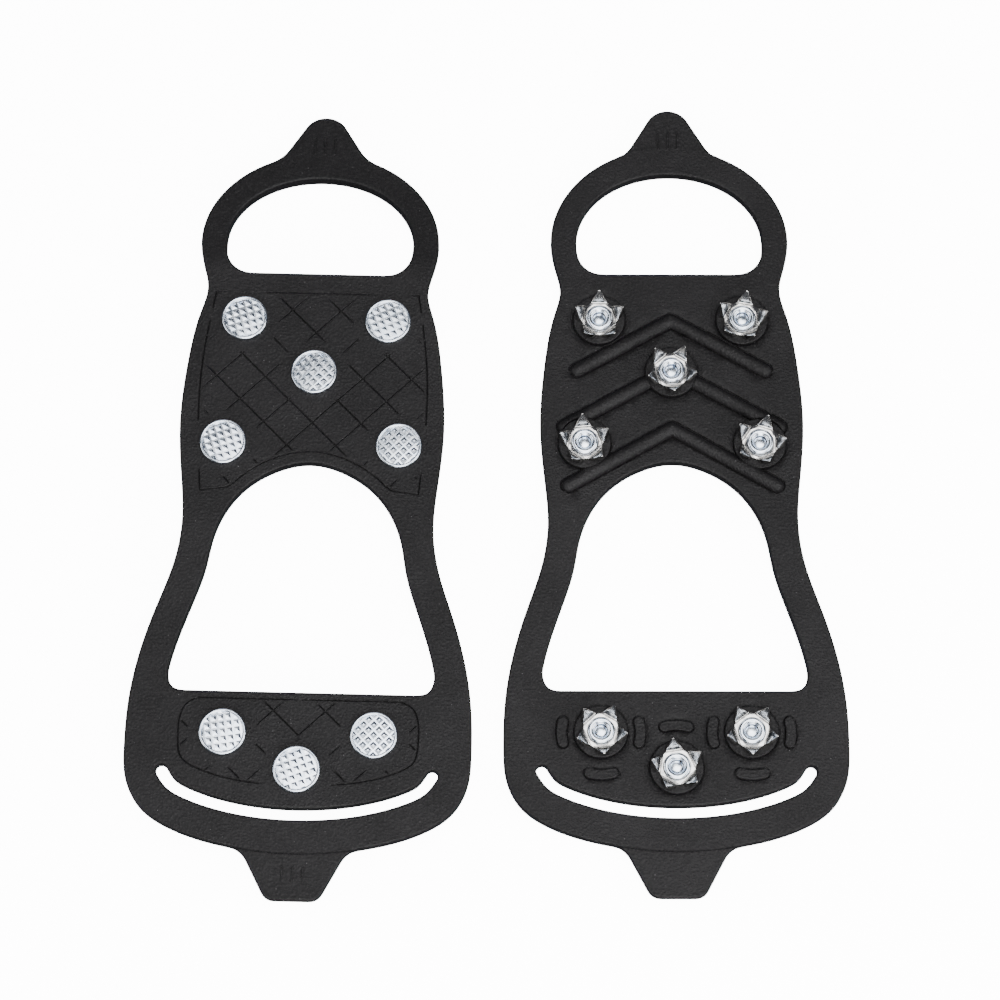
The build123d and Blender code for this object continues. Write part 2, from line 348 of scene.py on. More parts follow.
def dash_profile(distance):
    return rounded_step(distance, DASH_TOP, DASH_SIDE, DASH_HEIGHT)


def crease(distance, foot):
    """Depth of the crease outside a foot: sunk at once, then rising back to the sheet."""
    depth = CREASE_DEPTH * np.clip(1 - (distance - foot) / CREASE_WIDTH, 0, 1)
    return np.where(distance > foot + 0.02, depth, 0.0)


def chevron(apex, end, half_width=0.0):
    """The V line of a rib or, for a half width, its outline with round ends and a sharp inner corner."""
    left, tip, right = np.array((-end[0], end[1])), np.array(apex), np.array(end)
    if not half_width:
        return np.vstack([straight(left, tip, 2.0)[:-1], straight(tip, right, 2.0)])
    fall = math.degrees(math.atan2(end[1] - apex[1], end[0]))
    up = np.array((-math.sin(math.radians(fall)), math.cos(math.radians(fall)))) * half_width
    up_left = up * (-1, 1)
    inner = tip - (0, half_width / math.cos(math.radians(fall)))
    return np.vstack([
        arc(right, half_width, fall + 90, fall - 90, 9), straight(right - up, inner, 2.0)[1:-1], [inner],
        straight(inner, left - up_left, 2.0)[1:-1], arc(left, half_width, 270 - fall, 90 - fall, 9),
        straight(left + up_left, tip + up_left, 2.0)[1:-1], arc(tip, half_width, 90 - fall, 90 + fall, 9),
        straight(tip + up, right + up, 2.0)[1:-1]])


def dash_lines():
    """The centre lines of the dashes, about the two side studs of the forefoot and above the front one."""
    lines = []
    for stud in STUDS[5:7]:
        lines += [arc(stud, radius, at - DASH_ARC / 2, at + DASH_ARC / 2, 9)
                  for radius, at in DASHES_AT]
    return lines + [arc(STUDS[7], 11.0, 90 - DASH_ARC / 2, 90 + DASH_ARC / 2, 9)]


dashes = dash_lines()
print("ribs", len(RIBS), "bosses", len(STUDS), "dashes", len(dashes))

# %% [markdown]
# ## Grooves on the shoe face
# The shoe face has two panels, each a fine outline groove filled with a lattice of diamonds. The lattice
# is two sets of slanting lines. A line is kept only where it is inside its panel and clear of the rivet
# heads, so each groove stops short of a head.

# %% Panel outlines and diamond lattices
GROOVE_HALF = 0.26
GROOVE_DEPTH = 0.3
HEAD_CLEAR = 9.0                       # grooves stop this far from a rivet's centre
LATTICE_REACH = 6                      # lines each side of the panel's middle
PANEL_STEP = 0.5
ARCH_BAND = 3.1                        # the heel panel's lower edge keeps this far from the arch opening


def heel_panel():
    half_top = [(0, 22.8), (26.6, 22.8)]
    side = [(26.6, 22.8), (27.9, 14.6), (29.3, 3), (29.6, -12), (28.9, -24), (28.2, -32)]
    side = smooth_curve(side, step=PANEL_STEP)
    rim = arch_hole + ARCH_BAND * sideways(arch_hole)
    rim = rim[(rim[:, 0] >= 0) & (rim[:, 1] > -31.9)]
    foot = straight(side[-1], rim[-1], PANEL_STEP)
    half = np.vstack([straight(*half_top, PANEL_STEP)[:-1], side, foot[1:-1], rim[::-1]])
    return np.vstack([half, (half * (-1, 1))[::-1][1:-1]])


def forefoot_panel():
    side = [(25.4, -87.0), (28.6, -88.6), (30.2, -92.5), (30.3, -98), (29.4, -102.4), (25.4, -105.2),
            (14.5, -108.2), (0, -109.3)]
    top = straight((0, -87.0), side[0], PANEL_STEP)
    half = np.vstack([top[:-1], smooth_curve(side, step=PANEL_STEP)])
    return np.vstack([half, (half * (-1, 1))[::-1][1:-1]])


def inside(points, loop):
    """Which points lie inside a closed loop, by counting the edges that a ray to the right crosses."""
    found = np.zeros(len(points), bool)
    for (x0, y0), (x1, y1) in zip(loop, np.roll(loop, -1, axis=0)):
        if y0 != y1:
            spans = (points[:, 1] < y0) != (points[:, 1] < y1)
            found ^= spans & (points[:, 0] < x0 + (points[:, 1] - y0) * (x1 - x0) / (y1 - y0))
    return found


def distance_to(points, line):
    """Each point's distance to an open run of straight pieces."""
    best = np.full(len(points), 1e9)
    for a, b in zip(line[:-1], line[1:]):
        run = b - a
        along = np.clip((points - a) @ run / (run @ run), 0, 1)
        best = np.minimum(best, np.hypot(*(points - a - along[:, None] * run).T))
    return best


def closed(loop):
    return np.vstack([loop, loop[:1]])


def clear_runs(line, panel=None, margin=0.0):
    """The stretches of a line that are clear of every rivet head and inside the panel, less a margin."""
    keep = np.min([np.hypot(*(line - stud).T) for stud in STUDS], axis=0) > HEAD_CLEAR
    if panel is not None:
        keep &= inside(line, panel) & (distance_to(line, closed(panel)) > margin)
    runs, current = [], []
    for point, kept in zip(line, keep):
        if kept:
            current.append(point)
        elif current:
            runs.append(np.array(current))
            current = []
    if current:
        runs.append(np.array(current))
    return [run for run in runs if len(run) > 3]


def lattice(panel, node, half_pitch, margin):
    """Both sets of slanting lines through a grid of nodes, cut to the panel."""
    runs = []
    for slant in (-1, 1):
        for shift in range(-LATTICE_REACH, LATTICE_REACH + 1):
            middle = np.array(node) + (shift * 2 * half_pitch[0], 0)
            reach = 2 * LATTICE_REACH * np.array((half_pitch[0], slant * half_pitch[1]))
            for run in clear_runs(straight(middle - reach, middle + reach, 0.2), panel, margin):
                runs.append(run[[0, -1]])
    return runs


HEEL_LATTICE = dict(node=(0, -0.6), half_pitch=(6.35, 6.2), margin=0.8)
FOREFOOT_LATTICE = dict(node=(0, -96.2), half_pitch=(6.6, 6.3), margin=0.5)
grooves = []
for panel, grid in ((heel_panel(), HEEL_LATTICE), (forefoot_panel(), FOREFOOT_LATTICE)):
    grooves += [run[::2] for run in clear_runs(closed(panel))]
    grooves += lattice(panel, **grid)
print("grooves", len(grooves))

# %% [markdown]
# ## Size marks
# The maker's size mark on each pull tab is replaced here with three plain raised bars. They are on both
# faces of the heel tab and on the shoe face of the toe tab.

# %% Three short bars on a tab
MARK_HEIGHT = 0.22
MARK_TOP, MARK_SIDE = 0.12, 0.34
MARK_PITCH = 2.6
HEEL_MARK = dict(y=66.6, half_length=2.3)
TOE_MARK = dict(y=-131.6, half_length=1.7)


def mark_bars(y, half_length):
    return [straight((x, y - half_length), (x, y + half_length), 1.0) for x in (-MARK_PITCH, 0, MARK_PITCH)]


heel_marks = mark_bars(**HEEL_MARK)
toe_marks = mark_bars(**TOE_MARK)
print("bars", len(heel_marks) + len(toe_marks))

# %% [markdown]
# ## From lines to a surface
# All the lines above are handed to a constrained Delaunay triangulation, which makes a flat mesh whose
# triangles respect every line. The same flat mesh serves both faces of the sheet: each point gets a
# height on the shoe face and one on the ground face. A loose grid of extra points keeps the triangles
# well shaped, so that the rubber can bend smoothly at its flex lines.

# %% Collect the lines and triangulate
EDGE_ROUND = 0.55
EDGE_RINGS = (0.03, 0.1, 0.22, 0.38, 0.55, 0.75)
TAB_STEP_RUN = 0.3
TAB_BASES = ((1, 59.5), (-1, -123.8))  # which way each tab points, and where its base starts
FILL_PITCH = 2.2
FILL_CLEAR = 0.8
ROW_SPACING = 0.87                     # rows of near-equilateral triangles
FILL_REACH = 46                        # half the width of the fill grid
HEEL_SEAM_Y = 24.5
TOE_SEAM_Y = HALF_SLOT[-1][1] + SLOT_WIDTH / 2 - 0.1
FAR_OUT = 60.0


def circle(centre, radius, steps=56):
    return arc(centre, radius, 0, 360, steps + 1)[:-1]


def all_lines():
    """Every line of the flat mesh, each with whether it closes on itself."""
    lines = []
    for loop in edges:
        lines += [(loop + depth * sideways(loop, True), True) for depth in (0.0,) + EDGE_RINGS]
    for apex, end in RIBS:
        lines.append((chevron(apex, end), False))
        lines += [(chevron(apex, end, ring), True) for ring in RIB_RINGS]
    for stud in STUDS:
        lines += [(circle(stud, ring), True) for ring in BOSS_RINGS]
    for dash in dashes:
        lines.append((dash, False))
        lines += [(band(dash, ring, 7), True) for ring in DASH_RINGS]
    for groove in grooves:
        groove = straight(groove[0], groove[-1], 1.6) if len(groove) == 2 else groove
        lines += [(groove, False), (band(groove, GROOVE_HALF, 5), True)]
    for bar in heel_marks + toe_marks:
        lines.append((bar, False))
        lines += [(band(bar, ring, 6), True) for ring in (MARK_TOP, (MARK_TOP + MARK_SIDE) / 2, MARK_SIDE)]
    outwards = turned(base_edge, 1)
    for sign, base_y in TAB_BASES:
        step = outwards[sign * outwards[:, 1] > sign * base_y]
        step = step[np.argsort(sign * step[:, 0])]
        beyond = step + TAB_STEP_RUN * sideways(step)
        lines += [(step, False), (beyond, False)]
    lines.append((np.array([(-FAR_OUT, HEEL_SEAM_Y), (FAR_OUT, HEEL_SEAM_Y)]), False))
    for side in (-1, 1):
        slot_end = HALF_SLOT[-1][0]
        lines.append((np.array([(side * slot_end, TOE_SEAM_Y), (side * FAR_OUT, TOE_SEAM_Y)]), False))
    return lines


def fill_points(lines):
    """A staggered grid over the sheet, clear of every line."""
    taken = np.vstack([line for line, _ in lines])
    rows = []
    for number, y in enumerate(np.arange(low_y, high_y, FILL_PITCH * ROW_SPACING)):
        shift = FILL_PITCH / 2 * (number % 2)
        rows.append(np.array([(x + shift, y) for x in np.arange(-FILL_REACH, FILL_REACH, FILL_PITCH)]))
    grid = np.vstack(rows)
    grid = grid[inside(grid, outer)]
    gap = np.min([np.hypot(*(grid - point).T) for point in taken], axis=0)
    return grid[gap > FILL_CLEAR]


def in_rubber(points):
    hollow = inside(points, heel_hole) | inside(points, arch_hole) | inside(points, slot)
    return inside(points, outer) & ~hollow


def flat_mesh():
    """The triangulated sheet: its points, and its triangles run anticlockwise."""
    lines = all_lines()
    points, joins = [], []
    for line, is_closed in lines:
        first = len(points)
        points += [Vector(point) for point in line]
        joins += [(first + i, first + i + 1) for i in range(len(line) - 1)]
        if is_closed:
            joins.append((len(points) - 1, first))
    points += [Vector(point) for point in fill_points(lines)]
    found, _, triangles, *_ = delaunay_2d_cdt(points, joins, [], 0, 1e-5)
    found = np.array([tuple(point) for point in found])
    triangles = np.array([tuple(triangle) for triangle in triangles])
    triangles = triangles[in_rubber(found[triangles].mean(axis=1))]
    a, b, c = (found[triangles[:, i]] for i in range(3))
    turn = (b - a)[:, 0] * (c - a)[:, 1] - (b - a)[:, 1] * (c - a)[:, 0]
    triangles[turn < 0] = triangles[turn < 0][:, ::-1]
    return found, triangles[np.abs(turn) > 1e-9]


sheet_points, sheet_triangles = flat_mesh()
print("flat mesh", len(sheet_points), "points", len(sheet_triangles), "triangles")

# %% [markdown]
# ## Heights of the two faces
# Near every edge both faces round over by the same radius. The tabs are set back in steps, the relief
# stands out of the ground face, and the grooves are cut into the shoe face.

# %% Work out the heights
HEEL_TAB_STEP = 0.8                    # the heel tab is set back on the ground face only
TOE_TAB_STEP = 0.6                     # the toe tab is set back on both faces


def nearest(points, lines):
    return np.min([distance_to(points, line) for line in lines], axis=0)


def heights(points):
    """Heights of the ground face and the shoe face at each point."""
    depth = np.clip(EDGE_ROUND - nearest(points, [closed(loop) for loop in edges]), 0, None)
    drop = EDGE_ROUND - np.sqrt(np.clip(EDGE_ROUND ** 2 - depth ** 2, 0, None))
    beyond = np.where(inside(points, base_edge), 0, distance_to(points, closed(base_edge)))
    step = np.clip(beyond / TAB_STEP_RUN, 0, 1)
    on_heel = points[:, 1] > 0

    stud_gap = np.min([np.hypot(*(points - stud).T) for stud in STUDS], axis=0)
    rib_gap = nearest(points, [chevron(*rib) for rib in RIBS])
    dash_gap = nearest(points, dashes)
    relief = np.where(stud_gap < BOSS_SIDE_R + 0.01, boss_profile(stud_gap), rib_profile(rib_gap))
    relief = np.maximum(relief, dash_profile(dash_gap))
    creases = np.maximum(crease(stud_gap, BOSS_SIDE_R), crease(rib_gap, RIB_FOOT))
    relief = np.where(relief > 1e-3, relief, -np.maximum(creases, crease(dash_gap, DASH_SIDE)))
    mark = MARK_HEIGHT * np.clip((MARK_SIDE - nearest(points, heel_marks)) / (MARK_SIDE - MARK_TOP), 0, 1)
    ground = drop + step * np.where(on_heel, HEEL_TAB_STEP, TOE_TAB_STEP) - relief - mark

    cut = GROOVE_DEPTH * np.clip(1 - nearest(points, grooves) / GROOVE_HALF, 0, 1)
    mark = nearest(points, heel_marks + toe_marks)
    mark = MARK_HEIGHT * np.clip((MARK_SIDE - mark) / (MARK_SIDE - MARK_TOP), 0, 1)
    shoe = SHEET - drop - step * np.where(on_heel, 0, TOE_TAB_STEP) - cut + mark
    return ground, shoe


ground_z, shoe_z = heights(sheet_points)
print("ground face from", ground_z.min().round(2), "to", ground_z.max().round(2))
print("shoe face up to", shoe_z.max().round(2))

# %% [markdown]
# ## Three lengths of rubber
# On the real cleat this is one moulding. It bends at three flex lines, and a bend blends between two
# bodies only, so the rubber is made as three lengths that meet face to face where it never bends. Each is
# a closed shell: the shoe face, the ground face, and a wall round every border, which also closes the
# seams.

# %% Divide the sheet and build the shells
LEFT_DROOP = math.radians(7.2)         # the left heel loop sags until its tab rests on the ground
HEEL_BEND = (25.5, 36.5)               # y where the heel loop starts and ends its bend
ARCH_BEND = (-30.0, -82.0)
TOE_BEND = (TOE_SEAM_Y - 0.2, -111.5)
SHELL_SHARP = math.radians(38)         # edges sharper than this stay crisp


def length_of(points):
    """Which length of rubber each point belongs to."""
    x, y = points.T
    slot_y = np.interp(x, slot_line[:, 0], slot_line[:, 1])
    limit = np.where(np.abs(x) < HALF_SLOT[-1][0], slot_y, TOE_SEAM_Y)
    return np.where(y > HEEL_SEAM_Y, "heel_loop", np.where(y < limit, "toe_strap", "sole"))


def sagged(x, y, z):
    """Bend the heel loop down about its fold line, smoothly over the bend's length."""
    share = np.clip((y - HEEL_BEND[0]) / (HEEL_BEND[1] - HEEL_BEND[0]), 0, 1)
    turn = -LEFT_DROOP * share * share * (3 - 2 * share)
    dy, dz = y - HEEL_FOLD_Y, z - SHEET / 2
    return np.stack([x, HEEL_FOLD_Y + dy * np.cos(turn) - dz * np.sin(turn),
                     SHEET / 2 + dy * np.sin(turn) + dz * np.cos(turn)], axis=1)


def new_object(name, mesh):
    thing = bpy.data.objects.new(name, mesh)
    bpy.context.scene.collection.objects.link(thing)
    return thing


def shell(name, triangles, place, droops):
    """A closed shell over some of the sheet's triangles, laid in place."""
    used, local = np.unique(triangles, return_inverse=True)
    local = local.reshape(triangles.shape)
    count = len(used)
    x, y = sheet_points[used].T
    layers = [np.stack([x, y, z], axis=1) for z in (shoe_z[used], ground_z[used])]
    if droops:
        layers = [sagged(*layer.T) for layer in layers]
    runs = {(int(a), int(b)) for tri in local for a, b in zip(tri, np.roll(tri, -1))}
    border = sorted(run for run in runs if (run[1], run[0]) not in runs)
    faces = [tuple(int(i) for i in tri) for tri in local]
    faces += [tuple(int(i) + count for i in tri[::-1]) for tri in local]
    faces += [(a + count, b + count, b, a) for a, b in border]
    mesh = bpy.data.meshes.new(name)
    mesh.from_pydata(np.vstack(layers).tolist(), [], faces)
    mesh.transform(place)
    mesh.shade_smooth()
    mesh.set_sharp_from_angle(angle=SHELL_SHARP)
    print(name, len(mesh.vertices), "points", len(mesh.polygons), "faces")
    return new_object(name, mesh)


kinds = length_of(sheet_points[sheet_triangles].mean(axis=1))
rubber = {}
for side, place in PLACE.items():
    for kind in ("heel_loop", "sole", "toe_strap"):
        droops = side == "left" and kind == "heel_loop"
        rubber[side, kind] = shell(f"{side}_{kind}_rubber", sheet_triangles[kinds == kind], place, droops)

# %% [markdown]
# ## Rivets
# A semi-tubular rivet is turned and headed from wire, so it is a lathe shape: one outline spun about an
# axis. Its head has a round rim about a sunk field, and its tube end is rolled outwards over the star.
# Inside the rolled end the bore's floor is a small dome. The outline runs from the head's middle to the
# bore's middle, in mm.

# %% Spin an outline into a closed solid
HEAD_TOP = SHEET + 1.4
HEAD_RADIUS = 6.0
RIM_ROUND = 0.42
FIELD_RADIUS = HEAD_RADIUS - 2 * RIM_ROUND
FIELD_DEPTH = 0.46                     # at the rim; the field rises by FIELD_DOME towards its middle
FIELD_DOME = 0.14
PLATE_Z = -(BOSS_HEIGHT + 1.0)         # ground face of the star's plate
ROLL_CREST = (2.75, PLATE_Z - 0.8)
ROLL_RADII = (0.8, 0.55)
SHANK_RADIUS = 2.4
BORE_RADIUS = 1.75
BORE_FLOOR = PLATE_Z + 0.7
TURNS = 56
LATHE_SHARP = math.radians(40)         # edges sharper than this stay crisp


def spin(name, outline):
    """A lathe solid from an outline of (radius, z) points that starts and ends on the axis."""
    rim, rings = outline[1:-1], []
    made = bmesh.new()
    first = made.verts.new((0, 0, outline[0][1]))
    for radius, z in rim:
        angles = [math.tau * i / TURNS for i in range(TURNS)]
        rings.append([made.verts.new((radius * math.cos(a), radius * math.sin(a), z)) for a in angles])
    last = made.verts.new((0, 0, outline[-1][1]))
    for i in range(TURNS):
        after = (i + 1) % TURNS
        made.faces.new((first, rings[0][i], rings[0][after]))
        for upper, lower in zip(rings[:-1], rings[1:]):
            made.faces.new((upper[i], lower[i], lower[after], upper[after]))
        made.faces.new((last, rings[-1][after], rings[-1][i]))
    mesh = bpy.data.meshes.new(name)
    made.to_mesh(mesh)
    made.free()
    mesh.shade_smooth()
    mesh.set_sharp_from_angle(angle=LATHE_SHARP)
    return mesh


def bend(centre, radii, start, stop, steps=6):
    """Part of an ellipse in the outline, angles in degrees from the outward direction."""
    turn = np.radians(np.linspace(start, stop, steps))
    return [(centre[0] + radii[0] * math.cos(a), centre[1] + radii[1] * math.sin(a)) for a in turn]


def field_level(radius):
    return HEAD_TOP - FIELD_DEPTH + FIELD_DOME * (1 - (radius / FIELD_RADIUS) ** 2)


rim_centre = (HEAD_RADIUS - RIM_ROUND, HEAD_TOP - RIM_ROUND)
roll_centre = (ROLL_CREST[0], PLATE_Z - 0.25)
rivet_outline = (
    [(radius, field_level(radius)) for radius in (0, 1.3, 2.6, 3.9, FIELD_RADIUS)]
    + bend(rim_centre, (RIM_ROUND, RIM_ROUND), 180, 0, 10)
    + [(HEAD_RADIUS, SHEET + 0.25), (HEAD_RADIUS - 0.15, SHEET - 0.05)]
    + [(SHANK_RADIUS, SHEET - 0.05), (SHANK_RADIUS, PLATE_Z + 0.15)]
    + bend(roll_centre, (0.72, ROLL_RADII[1]), 20, -90, 6) + bend(roll_centre, ROLL_RADII, -105, -165, 4)
    + [(BORE_RADIUS, PLATE_Z - 0.2), (BORE_RADIUS, PLATE_Z + 1.1)]
    + [(radius, BORE_FLOOR + 0.2 * (radius / 1.5) ** 2) for radius in (1.5, 1.1, 0.7, 0.35)]
    + [(0, BORE_FLOOR)])
rivet_blank = new_object("rivet_blank", spin("rivet_blank", rivet_outline))
print("rivet", len(rivet_blank.data.vertices), "points")

# %% [markdown]
# ## Star crowns
# A star is stamped from 1 mm steel: a small plate with five teeth folded away from the rubber. The plate
# is a pentagon ring about the rivet. Each tooth is a strip of cross sections that starts on one side of
# the pentagon, passes a pressed groove, goes round the fold and tapers to its tip. A Bevel modifier then
# breaks the sharp edges.

# %% Cross sections of a tooth
STAR_SHEET = 1.0
TEETH = 5
FOLD_X = 4.25
FOLD_INNER_R = 0.15
FOLD_ANGLE = 55
PENTAGON_X = 3.79                      # from the centre to a side of the plate's pentagon
TOOTH_HALF = 2.1
TIP_HALF = 0.2
TOOTH_LENGTH = 3.8
TOOTH_SHARES = (0.12, 0.35, 0.6, 0.8, 0.93, 1.0)        # where along the tooth its sections stand
TIP_THINNING = 0.78                    # share of the sheet's thickness that is lost at the tip
DISH_RINGS = ((2.3, 0.46), (2.9, 0.44), (3.05, 0.26), (3.4, 0.18))   # radius, depth pressed into the plate
PLATE_GROOVE = (                       # distance from the centre line and depth
    (PENTAGON_X, 0.1), (3.85, 0.1), (3.95, 0.3), (4.05, 0.3), (4.16, 0.03), (FOLD_X, 0))
ACROSS = 4                             # strips across a tooth


def tooth_sections():
    """Cross sections of a tooth: half width, then the ground side and the rubber side as (x, z)."""
    corner = PENTAGON_X * math.tan(math.pi / TEETH)
    sections = []
    for x, pressed in PLATE_GROOVE:
        share = (x - PENTAGON_X) / (FOLD_X - PENTAGON_X)
        half = corner + (TOOTH_HALF - corner) * share
        sections.append((half, (x, PLATE_Z + pressed), (x, PLATE_Z + STAR_SHEET)))
    centre = np.array((FOLD_X, PLATE_Z - FOLD_INNER_R))
    for angle in np.radians(np.linspace(0, FOLD_ANGLE, 6)[1:]):
        out = np.array((math.sin(angle), math.cos(angle)))
        sections.append((TOOTH_HALF, centre + FOLD_INNER_R * out, centre + (FOLD_INNER_R + STAR_SHEET) * out))
    run = np.array((math.cos(math.radians(FOLD_ANGLE)), -math.sin(math.radians(FOLD_ANGLE))))
    root = centre + FOLD_INNER_R * out
    for share in TOOTH_SHARES:
        half = TOOTH_HALF + (TIP_HALF - TOOTH_HALF) * share ** 1.08
        thick = STAR_SHEET * (1 - TIP_THINNING * share ** 1.5)
        point = root + run * TOOTH_LENGTH * share
        sections.append((half, point, point + thick * out))
    return sections


print("a tooth has", len(tooth_sections()), "cross sections")


# %% Set five teeth round the plate
def star_mesh():
    made = bmesh.new()
    spread = np.linspace(-1, 1, ACROSS + 1)
    sides = {0: [], 1: []}              # the plate's outer points on the ground side and on the rubber side
    for tooth in range(TEETH):
        turn = Matrix.Rotation(math.tau * tooth / TEETH, 3, "Z")
        rows = []
        for half, *levels in tooth_sections():
            rows.append([
                [made.verts.new(turn @ Vector((x, half * share, z))) for share in spread] for x, z in levels])
        for here, there in zip(rows[:-1], rows[1:]):
            for i in range(ACROSS):
                made.faces.new((here[0][i], there[0][i], there[0][i + 1], here[0][i + 1]))
                made.faces.new((here[1][i + 1], there[1][i + 1], there[1][i], here[1][i]))
            made.faces.new((here[0][0], here[1][0], there[1][0], there[0][0]))
            made.faces.new((here[1][-1], here[0][-1], there[0][-1], there[1][-1]))
        tip = rows[-1]
        for i in range(ACROSS):
            made.faces.new((tip[0][i], tip[1][i], tip[1][i + 1], tip[0][i + 1]))
        for level in (0, 1):
            sides[level] += rows[0][level][:-1]
    for level in (0, 1):
        outer_ring = sides[level]
        for radius, pressed in DISH_RINGS[::-1]:
            z = PLATE_Z + pressed if level == 0 else PLATE_Z + STAR_SHEET
            ring = [made.verts.new((*(vert.co.xy.normalized() * radius), z)) for vert in outer_ring]
            for i in range(len(ring)):
                after = (i + 1) % len(ring)
                made.faces.new((outer_ring[i], outer_ring[after], ring[after], ring[i]))
            outer_ring = ring
        sides[level] = outer_ring
    for i in range(len(sides[0])):
        after = (i + 1) % len(sides[0])
        made.faces.new((sides[0][i], sides[0][after], sides[1][after], sides[1][i]))
    bmesh.ops.remove_doubles(made, verts=made.verts, dist=0.001)
    bmesh.ops.recalc_face_normals(made, faces=made.faces)
    mesh = bpy.data.meshes.new("star_blank")
    made.to_mesh(mesh)
    made.free()
    mesh.shade_smooth()
    return mesh


def applied(thing):
    """The object's mesh with its modifiers worked in, and the modifiers gone."""
    graph = bpy.context.evaluated_depsgraph_get()
    mesh = bpy.data.meshes.new_from_object(thing.evaluated_get(graph))
    thing.modifiers.clear()
    return mesh


BEVEL_WIDTH = 0.13
BEVEL_FROM = math.radians(50)          # only edges that turn more than this are broken
STAR_SHARP = math.radians(42)
star_blank = new_object("star_blank", star_mesh())
bevel = star_blank.modifiers.new("edges", "BEVEL")
bevel.width = BEVEL_WIDTH
bevel.segments = 2
bevel.limit_method = "ANGLE"
bevel.angle_limit = BEVEL_FROM
star_blank.data = applied(star_blank)
star_blank.data.set_sharp_from_angle(angle=STAR_SHARP)
lowest = min(vertex.co.z for vertex in star_blank.data.vertices)
print("star", len(star_blank.data.polygons), "faces, lowest point", round(lowest, 2))

# %% [markdown]
# ## Materials
# Three finishes cover the whole object: moulded rubber, the pale zinc plating of the rivets and the
# greyer, shinier plating of the stamped stars. One helper adds a node with its settings and links, and
# one turns a hex colour to linear light. Patterns use Object coordinates, in metres, so blobs of 0.5 mm
# have a noise scale of 1 / 0.0005.

# %% Helpers for node trees
def add(tree, kind, values=None, result=None, **settings):
    """Add a node. values maps a socket's name or number to a value or to another node's output.
    With a result, the output of that name or number is returned, and otherwise the node."""
    node = tree.nodes.new(kind)
    for name, setting in settings.items():
        setattr(node, name, setting)
    for key, value in (values or {}).items():
        if isinstance(value, bpy.types.NodeSocket):
            tree.links.new(value, node.inputs[key])
        else:
            node.inputs[key].default_value = value
    return node if result is None else node.outputs[result]


def linear(hex_colour):
    channels = [int(hex_colour[i:i + 2], 16) / 255 for i in (1, 3, 5)]
    return (*[c / 12.92 if c <= 0.04045 else ((c + 0.055) / 1.055) ** 2.4 for c in channels], 1.0)


def new_material(name):
    material = bpy.data.materials.new(name)
    material.use_nodes = True
    material.node_tree.nodes.clear()
    return material, material.node_tree


print("the grey #808080 is", round(linear("#808080")[0], 3), "in linear light")

# %% [markdown]
# ### Moulded rubber
# The body is a soft thermoplastic rubber, black with a little grey filler, pressed in a spark-eroded
# mould. That gives the eye a satin charcoal with a fine pebble grain, faint cloudy patches where the melt
# flowed, and scattered pale specks of dust and moulding talc. It is a plastic, so its IOR is about 1.5
# and it isn't metallic. The real grain is 0.1 to 0.2 mm, too fine to see from here, so it is drawn about
# three times as coarse. Its peaks are shinier than its hollows, and they are also painted a little paler,
# as a painted sheen. The specular level is lowered, because the hollows swallow some light.

# %% Rubber
GRAIN_MM = 0.55
GRAIN_DEPTH_MM = 0.3
CLOUD_MM = 16.0
SPECK_MM = 1.5
SPECK_RADIUS = 0.09                    # share of a speck's cell that it fills
SPECK_CHANCE = 0.55                    # share of the cells that have no speck
RUBBER_SPECULAR = 0.2


def moulded_rubber():
    material, tree = new_material("moulded_rubber")
    coords = add(tree, "ShaderNodeTexCoord", result="Object")
    clouds, grain_and_painted_sheen = (
        add(tree, "ShaderNodeTexNoise", {
            "Vector": coords, "Scale": 1 / (size * MM), "Detail": 2.0, "Roughness": fineness}, "Fac")
        for size, fineness in ((CLOUD_MM, 0.5), (GRAIN_MM, 0.6)))
    cells = add(tree, "ShaderNodeTexVoronoi", {"Vector": coords, "Scale": 1 / (SPECK_MM * MM)})
    dot = add(tree, "ShaderNodeMapRange", {
        "Value": cells.outputs["Distance"], "From Min": SPECK_RADIUS,
        "From Max": SPECK_RADIUS * 0.4}, "Result")
    chance = add(tree, "ShaderNodeSeparateColor", {"Color": cells.outputs["Color"]}, "Red")
    kept = add(tree, "ShaderNodeMapRange", {"Value": chance, "From Min": SPECK_CHANCE}, "Result")
    speck = add(tree, "ShaderNodeMath", {0: dot, 1: kept}, 0, operation="MULTIPLY")
    body = linear("#0b0a0b")
    # The paler colour on the grain's peaks is a painted sheen on the pebbles.
    for pattern, low, high, most, colour in (
            (clouds, 0.35, 0.7, 1.0, "#131213"), (grain_and_painted_sheen, 0.5, 0.72, 0.55, "#222122"),
            (speck, 0.0, 1.0, 0.7, "#7a787a")):
        share = add(tree, "ShaderNodeMapRange", {
            "Value": pattern, "From Min": low, "From Max": high, "To Max": most}, "Result")
        body = add(tree, "ShaderNodeMix", {
            "Factor": share, 6: body, 7: linear(colour)}, 2, data_type="RGBA")
    patchy = add(tree, "ShaderNodeMapRange", {
        "Value": clouds, "From Min": 0.3, "From Max": 0.7, "To Min": 0.06, "To Max": -0.04}, "Result")
    grainy = add(tree, "ShaderNodeMapRange", {
        "Value": grain_and_painted_sheen, "From Min": 0.35, "From Max": 0.65, "To Min": 0.52, "To Max": 0.34}, "Result")
    satin = add(tree, "ShaderNodeMath", {0: patchy, 1: grainy}, 0, operation="ADD")
    pebbles = add(tree, "ShaderNodeBump", {
        "Height": grain_and_painted_sheen, "Distance": GRAIN_DEPTH_MM * MM, "Strength": 1.0}, "Normal")
    shader = add(tree, "ShaderNodeBsdfPrincipled", {
        "Base Color": body, "Roughness": satin, "IOR": 1.5, "Specular IOR Level": RUBBER_SPECULAR,
        "Normal": pebbles}, "BSDF")
    add(tree, "ShaderNodeOutputMaterial", {"Surface": shader})
    return material


RUBBER = moulded_rubber()
print(RUBBER.name, "has", len(RUBBER.node_tree.nodes), "nodes")

# %% [markdown]
# ### Zinc-plated rivets
# The rivets are cold-headed steel with a bright zinc plating: a pale, slightly blue silver. Small patches
# of the plating differ a little in tone and gloss, and the header's die leaves the surface slightly
# uneven, which breaks up the reflections. It is a metal, so its colour is its reflection and its IOR is
# left alone.

# %% Zinc plating
ZINC_PATCH_MM = 1.4


